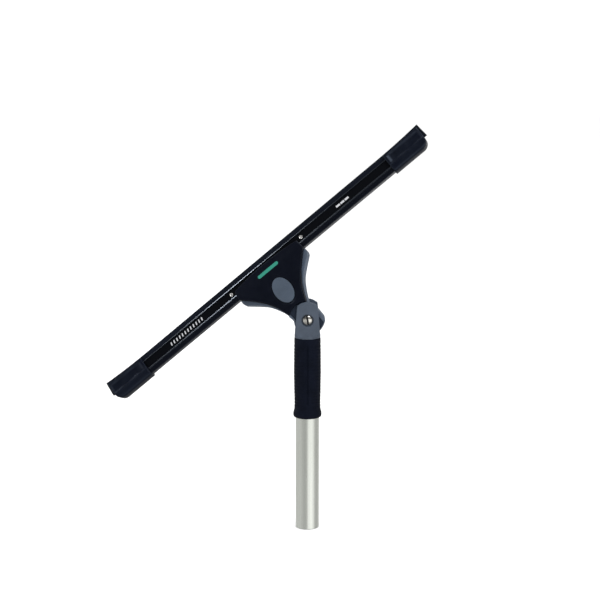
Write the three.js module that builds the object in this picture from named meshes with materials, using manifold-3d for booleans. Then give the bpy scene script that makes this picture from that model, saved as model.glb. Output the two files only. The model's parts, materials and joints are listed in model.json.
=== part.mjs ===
// Window cleaning squeegee: a swivelling T-shaped head on an aluminium pole.
// Millimetres, +Z up. The origin is the centre of the pole's lower end. The front, which faces -Y,
// is the side with the release button. The head is tilted to the left in its rest position.

import * as THREE from 'three';
import { mergeVertices } from 'three/addons/utils/BufferGeometryUtils.js';
import Module from 'manifold-3d';

const wasm = await Module();
wasm.setup();

// ---------------------------------------------------------------------------------------------
// Driving dimensions

const degree = Math.PI / 180;
const gap = 0.3; // air between pieces that rest on each other

const pole = { radius: 13.25, wall: 1.5, top: 134 };
const cone = {
  bottom: 92, insideRadius: 11.35, boreRadius: 8.6, boreTop: 129,
  flangeRadius: 13.1, flangeTop: 137.2, rootRadius: 10.15, tipRadius: 8.85, top: 198,
};
const rivet = { height: 112, shankRadius: 1.5, headRadius: 2.6 };
const catchPin = { height: 175, radius: 3.2, inner: 1.9, outer: 14.0, pocketFloor: -7.2 };

const grip = { bottom: 129, top: 219.3, boreRadius: 13.55, ribPitch: 3.8, ribDepth: 0.45 };
const gripGroove = { width: 1.7, floorRadius: 14.0, bottom: 145, top: 212 };
const core = { bottom: 137.6, top: 219.3, radius: 13.2, shoulder: 200.5 };

const pivotHeight = 241;
const fork = {
  collarBottom: 219.6, collarTop: 229.6, collarRadius: 14.5,
  spigotBottom: 200.9, spigotRadius: 10.5,
  earOuter: 13.5, earInner: 8.2, earTopRadius: 15.8, earTop: 20.4,
  slotRadius: 21.0, slotShoulder: 226.0, flareTop: 229.0, flareRadius: 20.5,
};
const recess = { radius: 6.9, frontFloor: -10.9, rearFloor: 10.3 };
const screw = { shankRadius: 2.45, headRadius: 5.5, headUnderside: -11.2, headTop: -14.0, end: 15.4 };

const headTilt = -40 * degree;
const bend = { height: 16, angle: -25 * degree };
const sweepRadius = 21.2; // nothing wider than the fork's slot comes nearer to the pivot than this
const knuckle = { halfWidth: 16, halfDepth: 7.7, bottom: -18.6, endRadius: 22.7, topRadius: 20.7 };
const pivotBoreRadius = 4.3;

// The head's plate is measured from the bend line: x along the channel, z up to the blade's edge.
const plate = { front: -4.9, back: 6.0, top: 48.1 };
const jaw = { halfWidth: 46.4, front: 4.8, back: 8.0, bottom: 38, top: 64.5 };
const cover = { front: -12.1, inside: -10.5, back: -5.25, top: 59.0, crown: 3.3, wall: 2.2 };
const button = { height: 23.0, halfWidth: 10.8, halfHeight: 16.0, front: -12.4, back: -9.9 };
const lever = { pivotHeight: 42, pivotDepth: -4.6, barrelRadius: 2.6, barrelHalfWidth: 7.6 };
const leverRib = { inner: 8.0, outer: 10.8 };
const mechanismPocket = { halfWidth: 12.8, bottom: 12.5, top: 49.5, floor: 2.6 };

const channel = {
  length: 445, bottom: 48.4, lip: 66.6, back: 4.5, groove: -4.1, grooveBottom: 56.3, seat: 58.4,
};
const lockHole = { height: 60.2, spacing: 50.9, radius: 1.8, countersinkRadius: 2.7 };
const bulb = { depth: 0.1, height: 61.6, radius: 2.1 };
const blade = { baseLength: 459, edgeLength: 457, edge: 73.7, endRise: 2.3, riseLength: 60, half: 0.85 };
const clip = { inner: 177.8, outer: 227.0, bottom: 47.1, top: 71.2, front: -8.2, back: 7.4 };

// ---------------------------------------------------------------------------------------------
// Materials

const material = (color, roughness, metalness) => (
  new THREE.MeshStandardMaterial({ color, roughness, metalness })
);
const aluminium = material('#c9cabf', 0.35, 0.9);
const anodised = material('#15171d', 0.35, 0.6);
const steel = material('#c8c7bd', 0.3, 1.0);
const springSteel = material('#8f9193', 0.35, 1.0);
const greyPlastic = material('#4f5a6b', 0.5, 0.0);
const blackPlastic = material('#15171f', 0.4, 0.0);
const softRubber = material('#14161e', 0.7, 0.0);
const bladeRubber = material('#101116', 0.6, 0.0);

// ---------------------------------------------------------------------------------------------
// Solids and booleans

// Merges a geometry's corners, drops triangles without area and turns its faces outward.
function closedMesh(geometry) {
  const bare = geometry.clone();
  bare.deleteAttribute('normal');
  bare.deleteAttribute('uv');
  const merged = mergeVertices(bare, 1e-4);
  const corners = merged.getAttribute('position').array;
  const index = merged.getIndex().array;
  const triangles = [];
  let volume = 0;
  const [a, b, c] = [new THREE.Vector3(), new THREE.Vector3(), new THREE.Vector3()];
  for (let i = 0; i < index.length; i += 3) {
    const [p, q, r] = index.slice(i, i + 3);
    if (p === q || q === r || r === p) continue;
    triangles.push([p, q, r]);
    a.fromArray(corners, 3 * p);
    b.fromArray(corners, 3 * q);
    c.fromArray(corners, 3 * r);
    volume += a.dot(b.cross(c));
  }
  if (volume < 0) triangles.forEach((triangle) => triangle.reverse());
  return { corners: Float32Array.from(corners), triangles: Uint32Array.from(triangles.flat()) };
}

function solid(geometry) {
  const { corners, triangles } = closedMesh(geometry);
  return new wasm.Manifold(new wasm.Mesh({ numProp: 3, vertProperties: corners, triVerts: triangles }));
}

function toGeometry(manifold) {
  const mesh = manifold.getMesh();
  const geometry = new THREE.BufferGeometry();
  geometry.setAttribute('position', new THREE.BufferAttribute(mesh.vertProperties, 3));
  geometry.setIndex(new THREE.BufferAttribute(mesh.triVerts, 1));
  geometry.computeVertexNormals();
  return geometry;
}

const join = (first, ...others) => (
  toGeometry(others.reduce((sum, other) => sum.add(solid(other)), solid(first)))
);
const cut = (first, ...tools) => (
  toGeometry(tools.reduce((rest, tool) => rest.subtract(solid(tool)), solid(first)))
);

function part(name, geometry, skin, parent) {
  const mesh = new THREE.Mesh(geometry, skin);
  mesh.name = name;
  parent.add(mesh);
  return mesh;
}

const points = (pairs) => pairs.map(([x, y]) => new THREE.Vector2(x, y));

// A profile of [radius, height] pairs turned about Z. A ring's profile closes on itself.
function turned(profile, segments = 32) {
  return new THREE.LatheGeometry(points(profile), segments).rotateX(Math.PI / 2);
}

// The same about Y: [radius, y] pairs.
const turnedAboutY = (profile, segments = 24) => new THREE.LatheGeometry(points(profile), segments);

const closedRing = (profile) => [...profile, profile[0]];

function block(x0, x1, y0, y1, z0, z1) {
  const box = new THREE.BoxGeometry(x1 - x0, y1 - y0, z1 - z0);
  return box.translate((x0 + x1) / 2, (y0 + y1) / 2, (z0 + z1) / 2);
}

function rodAlongY(radius, y0, y1, x = 0, z = 0, segments = 24) {
  const rod = new THREE.CylinderGeometry(radius, radius, y1 - y0, segments);
  return rod.translate(x, (y0 + y1) / 2, z);
}

function rodAlongX(radius, x0, x1, y = 0, z = 0, segments = 20) {
  const rod = new THREE.CylinderGeometry(radius, radius, x1 - x0, segments);
  return rod.rotateZ(Math.PI / 2).translate((x0 + x1) / 2, y, z);
}

// An outline in the XZ plane given thickness from y0 to y1, with its outer edges bevelled.
function slab(outline, y0, y1, bevel = 0, bevelSegments = 2) {
  const geometry = new THREE.ExtrudeGeometry(outline, {
    depth: y1 - y0 - 2 * bevel,
    bevelEnabled: bevel > 0,
    bevelThickness: bevel,
    bevelSize: bevel,
    bevelOffset: -bevel,
    bevelSegments,
    curveSegments: 6,
  });
  return geometry.rotateX(Math.PI / 2).translate(0, y1 - bevel, 0);
}

// A cross-section in the YZ plane drawn out along X.
function drawnAlongX(section, x0, x1) {
  const geometry = new THREE.ExtrudeGeometry(section, { depth: x1 - x0, bevelEnabled: false });
  const turn = new THREE.Matrix4().makeBasis(
    new THREE.Vector3(0, 1, 0), new THREE.Vector3(0, 0, 1), new THREE.Vector3(1, 0, 0),
  );
  return geometry.applyMatrix4(turn).translate(x0, 0, 0);
}

// A symmetric outline from its right flank, given from bottom to top as [half width, height].
function symmetric(flank) {
  const left = flank.map(([x, z]) => [-x, z]).reverse();
  return new THREE.Shape(points([...flank, ...left]));
}

function smooth(pairs, divisions) {
  return new THREE.SplineCurve(points(pairs)).getPoints(divisions).map((p) => [p.x, p.y]);
}

const inset = (pairs, distance) => pairs.map(([x, z]) => [x - distance, z]);

function oval(halfWidth, halfHeight, centre) {
  const shape = new THREE.Shape();
  shape.absellipse(0, centre, halfWidth, halfHeight, 0, 2 * Math.PI, false, 0);
  return new THREE.Shape(shape.getPoints(10));
}

// A coil spring along Y.
class Coil extends THREE.Curve {
  constructor(radius, y0, y1, turns) {
    super();
    Object.assign(this, { radius, y0, y1, turns });
  }

  getPoint(t, target = new THREE.Vector3()) {
    const angle = 2 * Math.PI * this.turns * t;
    const y = THREE.MathUtils.lerp(this.y0, this.y1, t);
    return target.set(this.radius * Math.cos(angle), y, this.radius * Math.sin(angle));
  }
}

function coilSpring(radius, wireRadius, y0, y1, turns) {
  const wire = new THREE.Shape().absarc(0, 0, wireRadius, 0, 2 * Math.PI);
  const path = new Coil(radius, y0 + wireRadius, y1 - wireRadius, turns);
  return new THREE.ExtrudeGeometry(wire, {
    extrudePath: path, steps: Math.round(turns * 12), curveSegments: 2, bevelEnabled: false,
  });
}

// ---------------------------------------------------------------------------------------------
// Pole, and the cone that the tool's handle slides over

function poleTube() {
  const inner = pole.radius - pole.wall;
  const tube = turned(closedRing([[inner, 0], [pole.radius, 0], [pole.radius, pole.top], [inner, pole.top]]));
  return cut(tube, rodAlongY(rivet.shankRadius + gap, 5, 20, 0, rivet.height, 16));
}

function lockingCone() {
  const chamfer = 1;
  const body = turned([
    [0, cone.boreTop], [cone.boreRadius, cone.boreTop], [cone.boreRadius, cone.bottom],
    [cone.insideRadius - chamfer, cone.bottom], [cone.insideRadius, cone.bottom + chamfer],
    [cone.insideRadius, pole.top + gap], [cone.flangeRadius, pole.top + gap],
    [cone.flangeRadius, cone.flangeTop], [cone.rootRadius, cone.flangeTop],
    [cone.tipRadius, cone.top - chamfer], [cone.tipRadius - chamfer, cone.top], [0, cone.top],
  ]);
  const catchPocket = rodAlongY(catchPin.radius + 0.4, catchPin.pocketFloor, 20, 0, catchPin.height);
  const rivetHole = rodAlongY(rivet.shankRadius + gap, 5, 20, 0, rivet.height, 16);
  return cut(body, catchPocket, rivetHole);
}

function coneRivet() {
  const shoulder = pole.radius + gap;
  return turnedAboutY([
    [0, 9], [rivet.shankRadius, 9], [rivet.shankRadius, shoulder], [rivet.headRadius, shoulder],
    [rivet.headRadius * 0.85, shoulder + 0.6], [rivet.headRadius * 0.45, shoulder + 0.95], [0, shoulder + 1.05],
  ], 16).translate(0, 0, rivet.height);
}

function coneCatch() {
  const { radius, inner, outer } = catchPin;
  return turnedAboutY([
    [0, inner], [radius, inner], [radius, outer - 1.1], [radius * 0.86, outer - 0.4],
    [radius * 0.55, outer - 0.08], [0, outer],
  ], 24).translate(0, 0, catchPin.height);
}

// ---------------------------------------------------------------------------------------------
// Handle

function handleCore() {
  const body = turned(closedRing([
    [cone.rootRadius + 0.37, core.bottom], [core.radius, core.bottom], [core.radius, core.top],
    [fork.spigotRadius + gap, core.top], [fork.spigotRadius + gap, core.shoulder],
    [cone.tipRadius + 0.37, core.shoulder],
  ]));
  return cut(body, rodAlongY(catchPin.radius + 0.4, 3, 20, 0, catchPin.height));
}

// The grip swells a little at mid height and ends below in a rolled lip. [radius, distance below the top]
const gripSwell = [[14.7, 0], [15.05, 20], [15.2, 38], [14.95, 58], [14.6, 72], [14.75, 80]];

function gripRadius(z) {
  const below = grip.top - z;
  const next = gripSwell.findIndex(([, distance]) => distance >= below);
  if (next < 1) return gripSwell[next < 0 ? gripSwell.length - 1 : 0][0];
  const [r0, d0] = gripSwell[next - 1];
  const [r1, d1] = gripSwell[next];
  return THREE.MathUtils.lerp(r0, r1, (below - d0) / (d1 - d0));
}

function rubberGrip() {
  const lip = [[14.6, 129], [15.6, 129.7], [15.95, 131.6], [15.95, 134.2], [15.5, 136.2], [14.8, 137.6]];
  const ribs = [];
  for (let z = 139.5; z < grip.top - 3; z += grip.ribPitch) {
    const radius = gripRadius(z);
    ribs.push([radius - grip.ribDepth, z], [radius, z + grip.ribPitch / 2]);
  }
  const body = turned(closedRing([
    [grip.boreRadius, grip.bottom], ...lip, ...ribs,
    [14.7, grip.top - 0.8], [14.2, grip.top], [grip.boreRadius, grip.top],
  ]), 28);
  const halfGroove = gripGroove.width / 2;
  const groove = block(-halfGroove, halfGroove, -20, -gripGroove.floorRadius, gripGroove.bottom, gripGroove.top);
  const catchHole = rodAlongY(catchPin.radius + 0.7, 5, 20, 0, catchPin.height);
  return cut(body, groove, catchHole);
}

function earOutline() {
  const peak = pivotHeight + fork.earTop;
  const arcCentre = peak - fork.earTopRadius;
  const shape = new THREE.Shape();
  shape.moveTo(-14.3, fork.collarBottom + 0.9);
  shape.lineTo(14.3, fork.collarBottom + 0.9);
  shape.lineTo(14.0, fork.collarTop - 3.5);
  shape.lineTo(12.7, pivotHeight);
  shape.lineTo(11.7, pivotHeight + 12.8);
  shape.quadraticCurveTo(11.5, pivotHeight + 15.4, 9.6, pivotHeight + 17.1);
  const start = Math.atan2(pivotHeight + 17.1 - arcCentre, 9.6);
  shape.absarc(0, arcCentre, fork.earTopRadius, start, Math.PI - start, false);
  shape.quadraticCurveTo(-11.5, pivotHeight + 15.4, -11.7, pivotHeight + 12.8);
  shape.lineTo(-12.7, pivotHeight);
  shape.lineTo(-14.0, fork.collarTop - 3.5);
  return shape;
}

// The collar is round, and the ears flare out of it. Between them the slot's floor is round about the pivot.
function swivelFork() {
  const collar = turned([
    [0, fork.spigotBottom], [fork.spigotRadius - 0.8, fork.spigotBottom],
    [fork.spigotRadius, fork.spigotBottom + 0.8], [fork.spigotRadius, fork.collarBottom],
    [fork.collarRadius - 0.4, fork.collarBottom], [fork.collarRadius, fork.collarBottom + 0.5],
    [fork.collarRadius, fork.collarBottom + 3], [fork.collarRadius - 1.1, fork.collarTop - 2],
    [0, fork.collarTop - 2],
  ]);
  const aroundFlare = turned(closedRing([
    [fork.collarRadius, fork.collarBottom - 0.2], [30, fork.collarBottom - 0.2],
    [30, fork.flareTop], [fork.flareRadius, fork.flareTop],
  ]));
  const ears = cut(slab(earOutline(), -fork.earOuter, fork.earOuter, 1.2), aroundFlare);
  const slot = join(
    block(-30, 30, -fork.earInner, fork.earInner, fork.slotShoulder, pivotHeight + 40),
    rodAlongY(fork.slotRadius, -fork.earInner, fork.earInner, 0, pivotHeight, 56),
  );
  const body = join(collar, ears);
  return cut(
    body, slot,
    rodAlongY(recess.radius, -20, recess.frontFloor, 0, pivotHeight, 32),
    rodAlongY(recess.radius, recess.rearFloor, 20, 0, pivotHeight, 32),
    rodAlongY(screw.shankRadius + 0.35, -20, 20, 0, pivotHeight),
  );
}

// ---------------------------------------------------------------------------------------------
// Pivot hardware, centred on the pivot

function pivotScrew() {
  const { shankRadius, headRadius, headUnderside, headTop, end } = screw;
  const body = turnedAboutY([
    [0, headTop], [headRadius * 0.45, headTop + 0.15], [headRadius * 0.75, headTop + 0.55],
    [headRadius * 0.94, headTop + 1.15], [headRadius, headTop + 1.8], [headRadius, headUnderside],
    [shankRadius, headUnderside], [shankRadius, end - 0.6], [shankRadius - 0.6, end], [0, end],
  ]);
  const slotTurn = 11 * degree;
  const slot = block(-0.8, 0.8, headTop - 2, headTop + 1.3, -10, 10).rotateY(-slotTurn);
  return cut(body, slot);
}

const pivotBush = () => turnedAboutY(closedRing([
  [2.8, -7.9], [4.0, -7.9], [4.0, 7.9], [2.8, 7.9],
]), 24);

const springWasher = () => turnedAboutY(closedRing([
  [2.85, 10.95], [5.6, 10.6], [5.6, 11.1], [2.85, 11.5],
]), 28);

function pivotNut() {
  const acrossCorners = 8 / Math.cos(30 * degree) / 2;
  const chamfer = 0.5;
  const hexagon = turnedAboutY([
    [0, 11.9], [acrossCorners - chamfer, 11.9], [acrossCorners, 11.9 + chamfer],
    [acrossCorners, 15.0 - chamfer], [acrossCorners - chamfer, 15.0], [0, 15.0],
  ], 6);
  return cut(hexagon, rodAlongY(screw.shankRadius + gap, 5, 20));
}

// ---------------------------------------------------------------------------------------------
// Head moulding and what is fixed to it

const plateToHead = new THREE.Matrix4().makeTranslation(0, 0, bend.height)
  .multiply(new THREE.Matrix4().makeRotationX(bend.angle));
const inHeadFrame = (geometry) => geometry.applyMatrix4(plateToHead);

// Right flanks, from the neck out to the wing tips: [half width, height above the bend line]
const wingFlank = [
  ...smooth([[12.9, -8.3], [14.4, 0.2], [18.6, 10], [25.1, 21], [32.7, 28.9], [41.1, 36.2]], 14),
  [44.6, 38.8], [46.2, 40.6], [46.4, 43.0],
];
const coverFlank = [
  ...smooth([[11.2, -7], [14.2, 1.5], [19.3, 14.2], [27.9, 27.65], [38.6, 39.9]], 12),
  [44.0, 44.9], [46.2, 46.9], [46.7, 48.8], [46.4, 55],
];
const screwPlaces = {
  upper_left: [-34, 44.5, jaw.back],
  upper_right: [34, 44.5, jaw.back],
  lower_left: [-15.4, 17, plate.back],
  lower_right: [15.4, 17, plate.back],
};
const coverScrew = { shankRadius: 1.1, headRadius: 2.4, tip: -9.2 };

// The knuckle's outline about the pivot, smaller by one margin around its end and another at its neck.
function knuckleOutline(margin, neckMargin, top) {
  const half = knuckle.halfWidth - margin;
  const endRadius = knuckle.endRadius - margin;
  const endCentre = knuckle.bottom + knuckle.endRadius;
  const endHalf = half - 3.5;
  const endStart = endCentre - Math.sqrt(endRadius ** 2 - endHalf ** 2);
  const neck = 13.0 - neckMargin;
  const shoulder = 14.0 - neckMargin;
  const shoulderHeight = Math.sqrt(top ** 2 - shoulder ** 2);
  const shape = new THREE.Shape();
  const spread = Math.asin(endHalf / endRadius);
  shape.absarc(0, endCentre, endRadius, -Math.PI / 2 - spread, -Math.PI / 2 + spread, false);
  shape.quadraticCurveTo(half, endStart + 1.9, half, endStart + 6.4);
  shape.lineTo(half, 0);
  shape.quadraticCurveTo(half - 0.4, 4.5, neck, 8.5);
  shape.lineTo(shoulder, shoulderHeight);
  const topStart = Math.atan2(shoulderHeight, shoulder);
  shape.absarc(0, 0, top, topStart, Math.PI - topStart, false);
  shape.lineTo(-neck, 8.5);
  shape.quadraticCurveTo(-half + 0.4, 4.5, -half, 0);
  shape.lineTo(-half, endStart + 6.4);
  shape.quadraticCurveTo(-half, endStart + 1.9, -endHalf, endStart);
  return shape;
}

function sweepCutters() {
  return [
    rodAlongY(sweepRadius, -40, -knuckle.halfDepth - 0.2, 0, 0, 40),
    rodAlongY(sweepRadius, knuckle.halfDepth + 0.2, 40, 0, 0, 40),
  ];
}

function headBack() {
  const wings = slab(symmetric([...wingFlank, [46.4, plate.top]]), plate.front, plate.back, 0.8);
  const rearJaw = block(-jaw.halfWidth, jaw.halfWidth, jaw.front, jaw.back, jaw.bottom, jaw.top);
  const { halfWidth, bottom, top, floor } = mechanismPocket;
  const pocket = block(-halfWidth, halfWidth, plate.front - 5, floor, bottom, top);
  const ribs = [-1, 1].map((side) => {
    const [x0, x1] = [side * leverRib.inner, side * leverRib.outer].sort((a, b) => a - b);
    const foot = block(x0, x1, lever.pivotDepth, floor + 1, lever.pivotHeight - 2.6, lever.pivotHeight + 2.6);
    return join(foot, rodAlongX(2.6, x0, x1, lever.pivotDepth, lever.pivotHeight));
  });
  const pinHole = rodAlongX(1.3, -11.5, 11.5, lever.pivotDepth, lever.pivotHeight);
  const plateBody = cut(join(cut(join(wings, rearJaw), pocket), ...ribs), pinHole);

  const screwHoles = Object.values(screwPlaces).flatMap(([x, z, back]) => [
    rodAlongY(coverScrew.shankRadius + 0.4, -10, 12, x, z, 16),
    rodAlongY(coverScrew.headRadius + 0.4, back - 2, 12, x, z, 20),
  ]);
  const drilled = cut(plateBody, ...screwHoles);

  const knuckleBlock = slab(
    knuckleOutline(0, 0, knuckle.topRadius), -knuckle.halfDepth, knuckle.halfDepth, 0.6,
  );
  const dishDepth = 1.8;
  const dishes = [-1, 1].map((side) => {
    const [y0, y1] = [side * (knuckle.halfDepth - dishDepth), side * 12].sort((a, b) => a - b);
    return slab(knuckleOutline(4, 2.4, sweepRadius + 0.3), y0, y1);
  });
  const whole = join(inHeadFrame(drilled), knuckleBlock);
  return cut(whole, ...dishes, ...sweepCutters(), rodAlongY(pivotBoreRadius, -20, 20, 0, 0, 28));
}

// Round below the pivot, and as wide as the knuckle's dish from there up to the cover's lower edge.
function frictionOutline() {
  const half = 11.2;
  const neck = 10.2;
  const shoulder = 11.2;
  const top = knuckle.topRadius - 0.1;
  const shoulderHeight = Math.sqrt(top ** 2 - shoulder ** 2);
  const topStart = Math.atan2(shoulderHeight, shoulder);
  const shape = new THREE.Shape();
  shape.absarc(0, 0, half, Math.PI, 2 * Math.PI, false);
  shape.quadraticCurveTo(half, 4.5, neck, 8.5);
  shape.lineTo(shoulder, shoulderHeight);
  shape.absarc(0, 0, top, topStart, Math.PI - topStart, false);
  shape.lineTo(-neck, 8.5);
  shape.quadraticCurveTo(-half, 4.5, -half, 0);
  return shape;
}

function frictionPlate(side) {
  const sheet = slab(frictionOutline(), 6.2, 7.2);
  const pad = rodAlongY(8.5, 7.0, 7.9, 0, 0, 32);
  const washer = cut(join(sheet, pad), rodAlongY(pivotBoreRadius + 0.4, 0, 20, 0, 0, 24));
  return washer.scale(1, side, 1);
}

function coverOutline(margin, bottom) {
  const flank = inset(coverFlank, margin).filter(([, z]) => z > bottom);
  const top = cover.top - margin * 0.8;
  const [bottomHalf] = flank[0];
  return new THREE.Shape([
    ...points([[bottomHalf, bottom], ...flank, [45.2 - margin, top]]),
    ...new THREE.QuadraticBezierCurve(
      new THREE.Vector2(45.2 - margin, top),
      new THREE.Vector2(0, top + 2 * cover.crown),
      new THREE.Vector2(margin - 45.2, top),
    ).getPoints(10).slice(1),
    ...points([...flank].reverse().map(([x, z]) => [-x, z])),
    new THREE.Vector2(-bottomHalf, bottom),
  ]);
}

function frontCover() {
  const skin = slab(coverOutline(0, -6.5), cover.front, cover.back, 1.0);
  const hollow = slab(coverOutline(cover.wall, 4.8), cover.inside, cover.back + 2);
  const leverSlot = block(-4.4, 4.4, cover.inside, cover.back + 2, 50, 70);
  const opening = slab(oval(button.halfWidth + 0.4, button.halfHeight + 0.4, button.height), -20, 0);
  const dish = slab(oval(button.halfWidth + 2.4, button.halfHeight + 2.4, button.height), -20, cover.front + 0.5);
  const bosses = Object.values(screwPlaces).map(([x, z]) => rodAlongY(2.8, cover.inside - 0.6, cover.back, x, z));
  const pilots = Object.values(screwPlaces).map(([x, z]) => (
    rodAlongY(coverScrew.shankRadius + gap, coverScrew.tip - 0.4, 0, x, z, 16)
  ));
  const body = join(cut(skin, hollow, leverSlot, opening, dish), ...bosses);
  return cut(inHeadFrame(cut(body, ...pilots)), rodAlongY(sweepRadius, -40, 40, 0, 0, 56));
}

function coverScrewBody([x, z, back]) {
  const under = back - 1.7;
  const { shankRadius, headRadius, tip } = coverScrew;
  const body = turnedAboutY([
    [0, tip], [shankRadius * 0.5, tip + 0.3], [shankRadius, tip + 1.4], [shankRadius, under],
    [headRadius, under], [headRadius, back - 0.6], [headRadius * 0.7, back - 0.25], [0, back - 0.2],
  ], 20);
  const across = block(-1.4, 1.4, back - 1, back + 1, -0.35, 0.35);
  const upright = block(-0.35, 0.35, back - 1, back + 1, -1.4, 1.4);
  return cut(body, across, upright).translate(x, 0, z);
}

// ---------------------------------------------------------------------------------------------
// Release button and lock lever, in the plate's frame

function releaseButton() {
  const flangeMargin = 1.7;
  const cap = slab(oval(button.halfWidth, button.halfHeight, button.height), button.front, button.back, 0.5);
  const rim = slab(
    oval(button.halfWidth + flangeMargin, button.halfHeight + flangeMargin, button.height), -10.2, -9.2,
  );
  const trimmedRim = cut(
    rim, block(-20, 20, -15, 0, lever.pivotHeight - 3.5, 60), block(-4.6, 4.6, -9.5, 0, button.height + 1, 43),
  );
  const presser = block(-3.6, 3.6, button.back - 0.6, -6.5, button.height - 1.6, button.height + 1.6);
  return join(cap, trimmedRim, presser);
}

function lockLever() {
  const { pivotHeight: z, pivotDepth: y, barrelRadius, barrelHalfWidth } = lever;
  const barrel = rodAlongX(barrelRadius, -barrelHalfWidth, barrelHalfWidth, y, z);
  const upperArm = block(-3.6, 3.6, -7.8, -6.2, z - 1, lockHole.height + 1.5);
  const web = block(-3.6, 3.6, -7.8, y, z - 1.6, z + 1.6);
  const lowerArm = block(-3.6, 3.6, -6.2, y, button.height - 4.3, z);
  return cut(
    join(barrel, upperArm, web, lowerArm),
    rodAlongX(1.3, -12, 12, y, z),
    rodAlongY(1.5, -10, 0, 0, lockHole.height, 20),
  );
}

const lockPin = () => turnedAboutY([
  [0, -7.8], [1.2, -7.8], [1.2, -3.3], [0.8, -2.9], [0, -2.9],
], 20).translate(0, 0, lockHole.height);

// ---------------------------------------------------------------------------------------------
// Channel, rubber and end clips, in the plate's frame

function channelSection() {
  const { bottom, lip, back, groove, grooveBottom, seat } = channel;
  const outer = [
    [back - 1, bottom], [back, bottom + 1], [back, lip - 0.6], [back - 0.6, lip], [1.4, lip],
    [1.4, lip - 1.7], [2.7, lip - 2.5], [2.7, seat + 1], [1.7, seat], [-1.5, seat], [-2.5, seat + 1],
    [-2.5, lip - 2.5], [-1.2, lip - 1.7], [-1.2, lip], [-4.3, lip], [-4.75, lip - 0.3],
    [-4.75, lip - 1.0], [groove, lip - 1.2], [groove, grooveBottom], [-4.95, grooveBottom - 0.3],
    [-4.95, grooveBottom - 1.3], [-4.7, grooveBottom - 1.6], [-4.7, bottom + 1], [-3.7, bottom],
  ];
  const section = new THREE.Shape(points(outer));
  section.holes.push(new THREE.Path(points([
    [-3.1, bottom + 1.6], [2.9, bottom + 1.6], [2.9, seat - 1.6], [-3.1, seat - 1.6],
  ])));
  return section;
}

function channelBody() {
  const holes = [-lockHole.spacing, 0, lockHole.spacing].map((x) => (
    turnedAboutY([
      [0, -6], [lockHole.countersinkRadius, -6], [lockHole.countersinkRadius, channel.groove],
      [lockHole.radius, channel.groove + 0.8], [lockHole.radius, -1.5], [0, -1.5],
    ], 20).translate(x, 0, lockHole.height)
  ));
  return cut(drawnAlongX(channelSection(), -channel.length / 2, channel.length / 2), ...holes);
}

function bladeBody() {
  const edgeHalf = blade.edgeLength / 2;
  const baseHalf = blade.baseLength / 2;
  const riseStart = edgeHalf - blade.riseLength;
  const flank = [
    [baseHalf, bulb.height - 2], [edgeHalf, blade.edge + blade.endRise],
    ...[0.75, 0.5, 0.25, 0].map((t) => [riseStart + t * blade.riseLength, blade.edge + blade.endRise * t * t]),
  ];
  const strip = slab(symmetric(flank), bulb.depth - blade.half, bulb.depth + blade.half);
  const bead = rodAlongX(bulb.radius, -baseHalf + 0.4, baseHalf - 0.4, bulb.depth, bulb.height, 16);
  return join(strip, bead);
}

function clipOutline() {
  const corner = 9.7;
  const shape = new THREE.Shape();
  shape.moveTo(clip.inner, clip.bottom + 1.2);
  shape.lineTo(clip.inner + 1.2, clip.bottom);
  shape.lineTo(clip.outer - corner, clip.bottom);
  shape.absarc(clip.outer - corner, clip.bottom + corner, corner, -Math.PI / 2, 0, false);
  shape.lineTo(clip.outer, clip.top - 1.5);
  shape.lineTo(clip.outer - 1.5, clip.top);
  shape.lineTo(clip.inner + 3, clip.top);
  shape.lineTo(clip.inner, clip.top - 2.4);
  return shape;
}

function endClip(side) {
  const channelEnd = channel.length / 2;
  const body = slab(clipOutline(), clip.front, clip.back, 1.2);
  const pocket = block(
    clip.inner - 5, channelEnd + gap, -5.3, channel.back + 0.35, channel.bottom - gap, channel.lip + gap,
  );
  const bladeSlot = block(clip.inner - 5, 235, bulb.depth - 1.25, bulb.depth + 1.25, channel.seat, 80);
  const beadHole = rodAlongX(bulb.radius + 0.35, channelEnd - 5, 235, bulb.depth, bulb.height, 16);
  const scoopRadius = 9;
  const scoops = [190.7, 208.7].map((x) => (
    new THREE.SphereGeometry(scoopRadius, 20, 12).scale(1, 0.5, 0.62)
      .translate(x, clip.front - 2.6, 63.0)
  ));
  return cut(body, pocket, bladeSlot, beadHole, ...scoops).scale(side, 1, 1);
}

// Turning a mesh inside out by mirroring is put right by closing it again.
function mended(geometry) {
  return toGeometry(solid(geometry));
}

// ---------------------------------------------------------------------------------------------
// Assembly

const squeegee = new THREE.Group();

part('pole_tube', mended(poleTube()), aluminium, squeegee);
part('locking_cone', mended(lockingCone()), blackPlastic, squeegee);
part('cone_rivet', mended(coneRivet()), aluminium, squeegee);
part('cone_spring', mended(coilSpring(2.5, 0.35, -6.8, 1.5, 4.5)), springSteel, squeegee)
  .position.set(0, 0, catchPin.height);
part('cone_catch', mended(coneCatch()), greyPlastic, squeegee);
part('handle_core', mended(handleCore()), blackPlastic, squeegee);
part('rubber_grip', mended(rubberGrip()), softRubber, squeegee);
part('swivel_fork', mended(swivelFork()), greyPlastic, squeegee);

const pivot = new THREE.Group();
pivot.position.set(0, 0, pivotHeight);
squeegee.add(pivot);
part('pivot_screw', mended(pivotScrew()), steel, pivot);
part('pivot_bush', mended(pivotBush()), steel, pivot);
part('spring_washer', mended(springWasher()), springSteel, pivot);
part('pivot_nut', mended(pivotNut()), steel, pivot);

const head = new THREE.Group();
head.rotation.y = headTilt;
pivot.add(head);
part('head_back', mended(headBack()), greyPlastic, head);
part('front_friction_plate', mended(frictionPlate(-1)), blackPlastic, head);
part('rear_friction_plate', mended(frictionPlate(1)), blackPlastic, head);
part('front_cover', mended(frontCover()), blackPlastic, head);

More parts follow.
